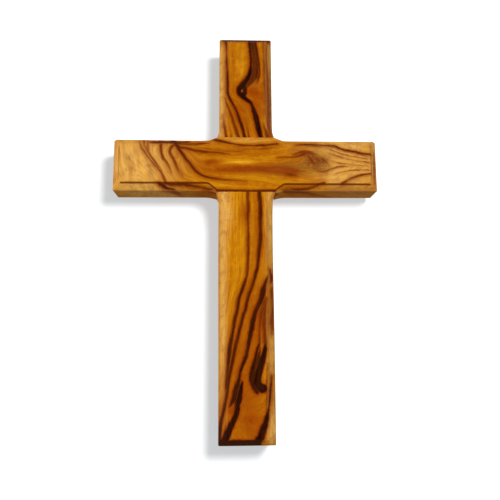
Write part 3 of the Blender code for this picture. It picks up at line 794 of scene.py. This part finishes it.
dark_spot = [(19.5, 127.4, 0), (21.5, 127, 0.45), (23, 126.8, 0.15), (24.5, 126.4, -0.1)]
fan_one = [(38.5, 141.2, -0.1), (42, 139.7, 0.1), (46, 138.1, 0.12), (50.5, 136.8, 0.12), (60, 135, 0.08)]
fan_two = [(41, 138, -0.1), (45, 136.5, 0.08), (49, 135.3, 0.1), (54, 134.2, 0.1), (61, 133.3, 0.08)]
fan_three = [(42, 134, -0.1), (47, 132.8, 0.08), (53, 132, 0.08), (60, 131.6, 0)]
fan_low = [(44, 127.5, -0.1), (48, 128.6, 0.08), (53, 129.3, 0.1), (60, 129.5, 0.05)]
right_cut = [
    (46.8, 122.5, 0.3), (49, 123.75, 0.28), (51, 125, 0.28), (53.5, 126, 0.3), (56, 126.8, 0.3),
    (58.5, 127.2, 0.28), (61, 127.6, 0.22),
]
under_right = [
    (38, 122.7, 0.3), (36, 122.2, 0.28), (34, 121.4, 0.33), (32, 120.8, 0.33), (30, 120.3, 0.3),
    (27, 120, 0.25), (23, 119.8, 0.2), (18, 119.6, 0.15),
]
under_blot = [
    (-42, 122.6, 0.3), (-41.3, 122, 0.5), (-40, 121.2, 0.5), (-38.6, 120.6, 0.35), (-37, 120.3, 0.2),
    (-35, 120.1, 0),
]
under_left = [
    (-39, 122.3, 0.4), (-36, 122, 0.3), (-32.5, 122, 0.36), (-29, 121.9, 0.36), (-25.5, 121.4, 0.25),
    (-22, 120.9, 0.2), (-19, 120.3, 0.2), (-16.5, 119.6, 0.25),
]
smear = [
    (-9, 129.9, -0.3), (-2, 129.8, 0.4), (6, 129.7, 0.6), (14, 129.5, 0.9), (19, 129.2, 1),
    (24, 128.9, 0.6), (28, 128.6, -0.4), (32, 128.3, -1.2),
]
# A dark glue line along the crossbar's lower seam over the joint, with painted shade under its proud edge.
lower_seam_glue_and_shade = [(-14.2, 118.9, 0.3), (-8, 118.9, 0.25), (0, 118.9, 0.15), (7, 118.9, 0.25), (13.6, 118.9, 0.3)]
end_mark = [(61.8, 142, -0.2), (61.8, 137, 0.05), (61.8, 131, 0.1), (61.8, 124.5, -0.1)]
left_mark = [(-61.8, 142.5, -0.2), (-61.7, 138, 0.08), (-61.6, 129, 0.05), (-61.5, 124, -0.1)]
end_edge = [(63.6, 139, 0), (63.7, 133, 0.35), (63.5, 128, 0.3), (63.6, 123, 0)]
crossbar_lines = [
    (0.5, far_left), (0.42, next_left), (0.5, bend_one), (0.58, bend_two), (0.62, bend_three),
    (0.82, strong), (0.74, upper_fan), (0.66, top_line), (0.78, top_edge), (0.82, lens), (0.3, parallel),
    (0.3, parallel_right), (0.75, far_end), (0.58, thin_left), (0.48, knot_top), (0.5, knot_streak),
    (0.42, knot_one), (0.45, knot_two), (0.85, lower_seam_glue_and_shade), (0.22, smear), (0.32, knot_foot),
    (0.6, dark_spot), (0.3, fan_one), (0.28, fan_two), (0.25, fan_three), (0.28, fan_low),
    (0.65, right_cut), (0.7, under_right), (0.9, under_blot), (0.7, under_left),
]

# How its grain flows, from above to below, and its stains.
flow_top = [(-30, 145), (-12, 145.5), (5, 145.5), (20, 145), (36, 145), (50, 145)]
flow_high = [
    (-24, 137), (-10, 136.5), (4, 136.5), (14, 138), (24, 140.3), (34, 141), (44, 138.5), (62, 134),
]
flow_above = [
    (-23, 134), (-10, 133.8), (5, 133.2), (16, 133.5), (24, 134.8), (28.5, 137), (34, 138.5), (39, 136.5),
    (46, 134.8), (62, 132),
]
flow_below = [
    (-21, 130), (-10, 129.5), (5, 129.5), (18, 129.5), (27, 129), (33, 128), (39, 129.4), (46, 131),
    (62, 130.5),
]
flow_low = [(15, 125), (26, 124.5), (36, 124.5), (44, 125.7), (54, 128.3), (62, 129.2)]
crossbar_flow = [(13, flow_top), (6, flow_high), (2.5, flow_above), (-3, flow_below), (-6, flow_low)]
flow_corner = [(-63, 143), (-62, 133), (-58, 124)]
for value, line in ((-21, far_left), (-17, bend_one), (-14.5, bend_two), (-12, bend_three), (-8.3, strong)):
    crossbar_flow.append((value, line[1:]))
crossbar_flow += [(8, upper_fan), (9, far_end), (-8.5, right_cut), (-31, flow_corner)]
crossbar_red = [
    (0.3, 0, 131, 26, 7), (0.85, -17, 133.2, 4, 1.8), (0.6, -11, 129.2, 9, 2), (0.75, 0, 129.9, 10, 1.8),
    (0.6, 13, 129.4, 9, 3), (0.45, 22, 129, 7, 3.4), (0.3, -30, 139, 10, 4), (0.35, -25, 130, 8, 5),
    (0.7, 52, 120, 14, 2), (0.6, 22, 127, 4, 2), (0.5, -3, 139.5, 22, 2),
]
# Pale patches: paler wood towards the arms' ends, partly painted sheen there, and painted highlights on the
# top and lower bevels and on a strip under the top seam.
crossbar_pale_and_highlights = [
    (1.15, -59, 133, 12, 13), (0.75, -43, 133, 11, 14), (1.25, 53, 133, 15, 12), (0.5, 38, 140, 12, 4),
    (0.4, 0, 144.3, 14, 1.8), (0.6, -50, 120.5, 18, 2), (0.5, 50, 143.5, 18, 2), (0.5, 44, 126, 8, 4),
]
crossbar_smoke = [
    (0.95, 34.8, 133.2, 7.6, 5.8), (0.34, 10, 129.6, 14, 2.2), (0.5, 21, 129.6, 8, 3.8),
    (0.3, 32, 134.7, 1.5, 2.4), (0.3, 38, 134, 2.5, 1.6), (0.25, 37.5, 129, 3.4, 1),
    (-0.3, 54, 133, 13, 10), (-1, -2.5, 133.3, 8, 1.2), (0.6, 29.5, 137.3, 4, 1.8),
    (0.45, -57.5, 135, 1.6, 2), (0.35, -55.5, 129.5, 1, 1.8), (0.45, -47, 131.2, 2, 0.9),
    (0.4, -46.5, 127.5, 1.6, 2.2), (0.3, -59.5, 127, 2, 2), (0.35, 58, 141, 4, 1.2),
    (-0.35, -51.5, 131, 1.6, 4), (-0.3, -56, 126.5, 2, 1.6), (0.3, -50, 138, 1.2, 1.6),
]

# Behind its front the figure shifts, narrows and thins out, as in the upright. The arris above its lower
# bevel gets a painted shadow line, but for the two ends.
depth = board_thickness + crossbar_points[:, 1]
behind = soft_positive(depth - 4.5, 1)
figure_x = crossbar_points[:, 0] - 0.8 * behind
figure_height = crossbar_points[:, 2] - crossing
figure_height = crossing - foot + figure_height * (1 - 0.022 * behind) - 0.12 * behind
# A painted shadow line along the arris above the lower bevel, faded out towards the two ends.
lower_arris_shadow = on_arrises(outlines, corners, ((3, -1),), 0.6) * (1 - ramp(from_middle, 60.2, 61.6))[:, None]
put_figure(
    crossbar,
    crossbar_points,
    (figure_x, figure_height),
    crossbar_lines,
    0.12 * behind,
    [(0.25, end_mark), (0.07, left_mark), (0.5, end_edge)],
    [],
    crossbar_flow,
    (crossbar_red, crossbar_pale_and_highlights, crossbar_smoke),
    # Painted highlights on the arrises, and the painted shadow line above the lower bevel.
    on_arrises(outlines, corners, ((1, 0.4), (2, 0.4), (4, 0.5))) + lower_arris_shadow,
    (crossbar_points[:, 0], depth),
)
finish_wood(crossbar, "crossbar_olive", 7.3)

# The hanger on the upright's back: a brass strap, cut from sheet, folded round the bar of the ring
# and doubled under one screw, its end rounded. The sheet is bright where it is handled and dull
# brown in its fine scratches.

sheet = 0.7
eye_y, eye_z, eye_radius = 2.3, -10.962, 1.65
strap_half, screw_z = 4.75, -28.46


def loop_band(centres, across, outwards, loop):
    """Points of a band: round every centre the same loop of pairs, measured along the two given ways."""
    points = centres[:, None] + loop[..., :1] * across[:, None] + loop[..., 1:] * outwards[:, None]
    return points.reshape(-1, 3)


# The strip's middle line goes up along the wood, round the bar on an arc, back through a small bend and
# down along itself. Its half width is a circle's about the screw at the tip, and whole above it.
lower_y, upper_y, fold_radius = 0.65, 1.65, 1.0
layer_steps = 60
bend_y = upper_y + fold_radius
bend_z = eye_z - sqrt((eye_radius + fold_radius) ** 2 - (bend_y - eye_y) ** 2)
to_bend = np.arctan2(bend_z - eye_z, bend_y - eye_y)
tip = 0.02
tip_z = screw_z - strap_half + tip
run = 1 - (1 - np.linspace(0, 1, layer_steps)) ** 2
lower_layer = np.column_stack([np.full(layer_steps, lower_y), tip_z + (eye_z - 0.05 - tip_z) * run])
round_bar = np.linspace(pi, to_bend, 44)
eye = np.column_stack([eye_y + eye_radius * np.cos(round_bar), eye_z + eye_radius * np.sin(round_bar)])
round_bend = np.linspace(to_bend + pi, pi, 12)[1:]
fold_z = bend_z + fold_radius * np.sin(round_bend)
fold = np.column_stack([bend_y + fold_radius * np.cos(round_bend), fold_z])
upper_z = bend_z - (bend_z - tip_z) * (1 - run[::-1])
upper_layer = np.column_stack([np.full(layer_steps, upper_y), upper_z])[1:]
path = np.concatenate([lower_layer, eye, fold, upper_layer])
along = np.gradient(path, axis=0)
along = along / np.linalg.norm(along, axis=1, keepdims=True)
strap_width = np.sqrt(np.maximum(strap_half**2 - np.minimum(path[:, 1] - screw_z, 0) ** 2, 0.01))
turn = np.linspace(0, 2 * pi, 40, endpoint=False)
edge_ease = 0.16
side_x = np.sign(np.cos(turn)) * np.abs(np.cos(turn)) ** 0.3
side_y = np.sign(np.sin(turn)) * np.abs(np.sin(turn)) ** 0.5 * sheet / 2
reach_x = side_x[None, :] * (strap_width[:, None] - edge_ease) + edge_ease * np.cos(turn)[None, :]
loop = np.stack([reach_x, np.broadcast_to(side_y, reach_x.shape)], axis=2)
centres = np.column_stack([np.zeros(len(path)), path])
across = np.tile([1.0, 0.0, 0.0], (len(path), 1))
outwards = np.column_stack([np.zeros(len(path)), along[:, 1], -along[:, 0]])
points = loop_band(centres, across, outwards, loop)
points = np.concatenate([points, centres[[0, -1]] + [[0, 0, -tip]]])
quads, triangles = tube_faces(len(path), len(turn))
strap = new_piece("strap_sheet", points, quads, triangles, turned=True)
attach(strap, "cross")
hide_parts("hanger_strap")

worn_inputs = [("Bright", colour), ("Dull", colour), ("Place", triple)]
worn_outputs = [("Color", colour), ("Roughness", number), ("Height", number)]
worn_metal, given, made = new_group("worn_metal", worn_inputs, worn_outputs)
tree = worn_metal
clouds = noise(tree, stretch(tree, given["Place"], (0.3, 0.3, 0.3)), 1.0, 2.0, 0.5)
scratches = noise(tree, stretch(tree, given["Place"], (1.4, 1.4, 0.16)), 1.0, 1.0, 0.5, 0.4)
specks = noise(tree, stretch(tree, given["Place"], (0.8, 0.8, 0.8)), 1.0, 1.0)
dulled = times(tree, between(tree, clouds, 0.35, 0.7), 0.6)
dulled = reckon(tree, "ADD", dulled, times(tree, between(tree, scratches, 0.5, 0.75), 0.25))
speckled = times(tree, between(tree, specks, 0.62, 0.7), 0.35)
dulled = reckon(tree, "ADD", dulled, speckled, clamp=True)
tree.links.new(blend(tree, dulled, given["Bright"], given["Dull"]), made["Color"])
tree.links.new(between(tree, dulled, 0.0, 1.0, 0.24, 0.5), made["Roughness"])
tree.links.new(minus(tree, scratches, specks), made["Height"])


def finish_metal(piece, name, bright, dull):
    """Gives a metal piece its own bright and dull colours, mixed by the shared wear in millimetres."""
    tree = new_material(piece, name)
    place = stretch(tree, add_node(tree, "TexCoord").outputs["Object"], (1 / MM, 1 / MM, 1 / MM))
    wear = add_node(tree, "Group", bright, dull, place, choices=(("node_tree", worn_metal),))
    shader = show_effect(tree, wear.outputs, 0.004)
    shader.inputs["Metallic"].default_value = 1.0


finish_metal(strap, "strap_brass", paint(226, 190, 116), paint(140, 98, 46))

# The ring that hangs on the nail: 2 mm brass wire bent to a D, its straight bar held in the strap's
# fold, where its two ends meet. It leans on the upright's back at rest and swings about the bar.

# The wire's middle line: the bar, two rounded corners, two short sides and half a circle. A circle is
# carried along it and drawn in a little where the two ends meet in the bar.
wire_radius, ring_side, ring_half, ring_corner = 0.985, 5.5, 6.5, 1.45
lean = radians(4.78)
end_join, end_ease = 0.12, 0.12
bow = np.linspace(0, pi, 61)
bow = np.column_stack([ring_half * np.cos(bow), ring_side + ring_half * np.sin(bow)])
corner_turn = np.linspace(-pi / 2, 0, 13)
corner_x, corner_z = ring_corner * np.cos(corner_turn), ring_corner * (1 + np.sin(corner_turn))
right_corner = np.column_stack([ring_half - ring_corner + corner_x, corner_z])
left_corner = (right_corner * [-1, 1])[::-1]
bar = np.linspace(ring_corner - ring_half, ring_half - ring_corner, 30)[1:-1]
bar = np.column_stack([bar, np.zeros(len(bar))])
side = np.linspace(ring_corner, ring_side, 9)[1:-1]
right_side = np.column_stack([np.full(7, ring_half), side])
wire = np.concatenate([bar, right_corner, right_side, bow, (right_side * [-1, 1])[::-1], left_corner])
wire_way = np.roll(wire, -1, axis=0) - np.roll(wire, 1, axis=0)
wire_way = wire_way / np.linalg.norm(wire_way, axis=1, keepdims=True)
upwards = np.array([0, -sin(lean), cos(lean)])
away = np.array([0, cos(lean), sin(lean)])
centres = np.array([0, eye_y, eye_z]) + wire[:, :1] * [1, 0, 0] + wire[:, 1:] * upwards
across = wire_way[:, 1:] * [1, 0, 0] - wire_way[:, :1] * upwards
turn = np.linspace(0, 2 * pi, 24, endpoint=False)
end_gap = np.exp(-((wire[:, 0] / end_join) ** 2)) * (np.abs(wire[:, 1]) < 0.01)
radius = wire_radius * (1 - end_ease * end_gap)
loop = radius[:, None, None] * np.stack([np.cos(turn), np.sin(turn)], axis=1)[None]
points = loop_band(centres, across, np.tile(away, (len(wire), 1)), loop)
quads, triangles = tube_faces(len(wire), len(turn), closed=True)
ring = new_piece("ring_wire", points, quads, triangles, turned=True)
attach(ring, "ring")
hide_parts("hanger_ring")
finish_metal(ring, "ring_brass", paint(232, 198, 126), paint(150, 106, 52))

# The screw: a zinc-plated steel wood screw with a pan head and a cross recess, driven through both
# layers of the strap into the upright. Its thread is hidden in the wood.

# Rings about the screw's axis: a quarter of an ellipse for the dome, with two crossed slots sunk in it,
# the head's rim and under side, then the shank, whose thread is a ridge that climbs one pitch a turn.
head_y, head_radius, head_rim, head_height = 2.3, 3.2, 0.7, 1.96
recess_half, recess_reach, recess_depth = 0.52, 1.75, 1.05
shank_radius, screw_length, pitch = 1.5, 12.0, 1.3
round_count = 96
turn = np.linspace(0, 2 * pi, round_count, endpoint=False)[None, :]
dome = np.linspace(0, 1, 40)[1:, None] ** 0.9
dome_angle = dome * pi / 2
dome_radius = head_radius * np.sin(dome_angle) * np.ones_like(turn)
dome_height = head_rim + (head_height - head_rim) * np.cos(dome_angle)
wing_x, wing_z = dome_radius * np.cos(turn), dome_radius * np.sin(turn)
wings = []
for across_wing, along_wing in ((wing_x, wing_z), (wing_z, wing_x)):
    inside = ramp(recess_half - np.abs(across_wing), 0, 0.14)
    wings.append(inside * ramp(recess_reach - np.abs(along_wing), 0, 0.35))
dome_height = dome_height - np.maximum(*wings) * (recess_depth - 0.3 * dome_radius)
under_radius = np.array([head_radius, 3.16, 3.0, 2.4, 1.55])[:, None] * np.ones_like(turn)
under_height = np.array([0.35, 0.06, 0, 0, 0])[:, None] * np.ones_like(turn)
depth = np.linspace(0.02, screw_length - 0.05, 100)[:, None]
thread = np.abs((depth / pitch - turn / (2 * pi)) % 1 - 0.5) * 2
taper = np.clip((screw_length - depth) / 3.0, 0.02, 1)
core, rise = 0.72, 0.28
threaded = rise * ramp(thread, 0.45, 1) * ramp(depth, 1.6, 2.4)
plain = rise * ramp(2.0 - depth, 0, 0.6)
shank = np.minimum(shank_radius * (core + threaded + plain), shank_radius) * taper
radii = np.concatenate([dome_radius, under_radius, shank])
heights = np.concatenate([dome_height, under_height, -depth * np.ones_like(turn)])
points = np.stack([radii * np.cos(turn), head_y + heights, screw_z + radii * np.sin(turn)], axis=2)
points = points.reshape(-1, 3)
poles = [[0, head_y + head_height - recess_depth, screw_z], [0, head_y - screw_length, screw_z]]
points = np.concatenate([points, poles])
quads, triangles = tube_faces(len(radii), round_count)
screw = new_piece("screw_body", points, quads, triangles, turned=True)
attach(screw, "cross")
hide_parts("hanger_screw")
finish_metal(screw, "screw_zinc", paint(214, 212, 204), paint(150, 146, 134))

# The wall behind the cross and the floor below it: plain and pale. The wall stands a little behind the
# hanger's screw head, takes the shadow, shows white where none falls, and is clear from behind.


def stage_sheet(name, corners):
    """A flat four-cornered sheet of the stage, its corners in millimetres."""
    mesh = bpy.data.meshes.new(name)
    mesh.from_pydata((np.array(corners) * MM).tolist(), [], [(0, 1, 2, 3)])
    sheet_object = bpy.data.objects.new(name, mesh)
    bpy.context.scene.collection.objects.link(sheet_object)
    return sheet_object


corner_order = ((0, 0), (1, 0), (1, 1), (0, 1))
wall_x, wall_y, wall_z = (-170.0, 170.0), 4.6, (-280.0, 110.0)
wall = stage_sheet("wall", [(wall_x[i], wall_y, wall_z[j]) for i, j in corner_order])
floor_edges, floor_z = (-700.0, 700.0), foot - 350
floor = stage_sheet("floor", [(floor_edges[i], floor_edges[j], floor_z) for i, j in corner_order])


def seen(tree):
    """1 for what the camera sees, straight or in a shine, and 0 for the light that falls on the piece."""
    rays = add_node(tree, "LightPath").outputs
    return reckon(tree, "MAXIMUM", rays["Is Camera Ray"], rays["Is Glossy Ray"])


def grey(value):
    """A grey colour."""
    return (value, value, value, 1)


tree = new_material(wall, "wall_paint")
tree.nodes.clear()
diffuse = add_node(tree, "BsdfDiffuse", Color=grey(0.35)).outputs[0]
glow = add_node(tree, "Emission", Color=(0.968, 1, 1.016, 1), Strength=0.525).outputs[0]
shown = add_node(tree, "AddShader", diffuse, glow).outputs[0]
bounce = add_node(tree, "BsdfDiffuse", Color=grey(0.2)).outputs[0]
front_side = add_node(tree, "MixShader", seen(tree), bounce, shown).outputs[0]
backfacing = add_node(tree, "NewGeometry").outputs["Backfacing"]
shadow_ray = add_node(tree, "LightPath").outputs["Is Shadow Ray"]
clear_share = reckon(tree, "MAXIMUM", backfacing, shadow_ray)
clear = add_node(tree, "BsdfTransparent").outputs[0]
whole = add_node(tree, "MixShader", clear_share, front_side, clear).outputs[0]
add_node(tree, "OutputMaterial", Surface=whole)

tree = new_material(floor, "floor_paint")
tree.nodes.clear()
diffuse = add_node(tree, "BsdfDiffuse", Color=grey(0.5)).outputs[0]
glow = add_node(tree, "Emission", Strength=1.0).outputs[0]
add_node(tree, "OutputMaterial", Surface=add_node(tree, "MixShader", seen(tree), diffuse, glow).outputs[0])

# The light: two broad soft lamps from the left and the right and one for the back light the cross, a
# small lamp to the right throws its soft shadow on the wall, and the room gives an even white light.


def stand(thing, place, side, up, back):
    """Puts a lamp or the camera at a place in millimetres, its own X, Y and Z axes along the three ways."""
    turned = Matrix([[*row, 0] for row in np.column_stack([side, up, back])] + [[0, 0, 0, 1]])
    thing.matrix_world = Matrix.Translation((np.array(place) * MM).tolist()) @ turned


def lamp(name, place, target, size, power):
    """A square area lamp at a place in millimetres, turned so that its -Z axis points at the target."""
    data = bpy.data.lights.new(name, "AREA")
    data.size = size * MM
    data.energy = power
    lamp_object = bpy.data.objects.new(name, data)
    bpy.context.scene.collection.objects.link(lamp_object)
    place, target = np.array(place, float), np.array(target, float)
    back = (place - target) / np.linalg.norm(place - target)
    side = np.cross([0, 0, 1], back)
    side = side / np.linalg.norm(side)
    stand(lamp_object, place, side, np.cross(back, side), back)
    return lamp_object


centre = (0, -10, crossing)
left_lamp = lamp("left_lamp", (-700, -850, crossing - 80), centre, 500, 8.2)
right_lamp = lamp("right_lamp", (850, -700, crossing - 60), centre, 500, 4.8)
back_lamp = lamp("back_lamp", (500, 1000, crossing + 400), centre, 600, 6.0)
lit_pieces = bpy.data.collections.new("lit_pieces")
for piece in (upright, crossbar, strap, ring, screw):
    lit_pieces.objects.link(piece)
left_lamp.light_linking.receiver_collection = lit_pieces
right_lamp.light_linking.receiver_collection = lit_pieces
shadow_lamp_data = bpy.data.lights.new("shadow_lamp", "POINT")
shadow_radius = 64
shadow_lamp_data.shadow_soft_size = shadow_radius * MM
shadow_lamp_data.energy = 1.0
shadow_lamp_data.use_nodes = True
tree = shadow_lamp_data.node_tree
even = add_node(tree, "LightFalloff", Strength=88.0).outputs["Constant"]
tree.links.new(even, tree.nodes["Emission"].inputs["Strength"])
shadow_lamp = bpy.data.objects.new("shadow_lamp", shadow_lamp_data)
bpy.context.scene.collection.objects.link(shadow_lamp)
shadow_place = (136, -351, 5)
shadow_lamp.location = [c * MM for c in shadow_place]
lit_wall = bpy.data.collections.new("lit_wall")
lit_wall.objects.link(wall)
shadow_lamp.light_linking.receiver_collection = lit_wall
world = bpy.data.worlds.new("room")
bpy.context.scene.world = world
world.use_nodes = True
tree = world.node_tree
tree.nodes.clear()
room = add_node(tree, "Background", Color=grey(1), Strength=0.28).outputs[0]
white = add_node(tree, "Background", Color=grey(1), Strength=1.0).outputs[0]
add_node(tree, "OutputWorld", Surface=add_node(tree, "MixShader", seen(tree), room, white).outputs[0])

# The camera: a little over a quarter of a metre from the crossing, slightly to the left of it and below,
# looking up by 9 degrees, as the photograph was taken.

camera_data = bpy.data.cameras.new("camera")
camera_data.sensor_width = 36
camera_data.lens = 38.36
camera_data.clip_start = 0.01
camera_data.clip_end = 20
camera = bpy.data.objects.new("camera", camera_data)
bpy.context.scene.collection.objects.link(camera)
yaw, pitch, roll = -0.0349, 0.1637, 0.0062
turn_z = np.array([[cos(yaw), -sin(yaw), 0], [sin(yaw), cos(yaw), 0], [0, 0, 1]])
turn_x = np.array([[1, 0, 0], [0, cos(pitch), -sin(pitch)], [0, sin(pitch), cos(pitch)]])
turn_y = np.array([[cos(roll), 0, sin(roll)], [0, 1, 0], [-sin(roll), 0, cos(roll)]])
right_way, ahead_way, up_way = (turn_z @ turn_x @ turn_y).T
camera_place = (-7.05, -266.5, foot + 48.41)
stand(camera, camera_place, right_way, up_way, -ahead_way)
bpy.context.scene.camera = camera
bpy.context.scene.view_settings.view_transform = "Standard"
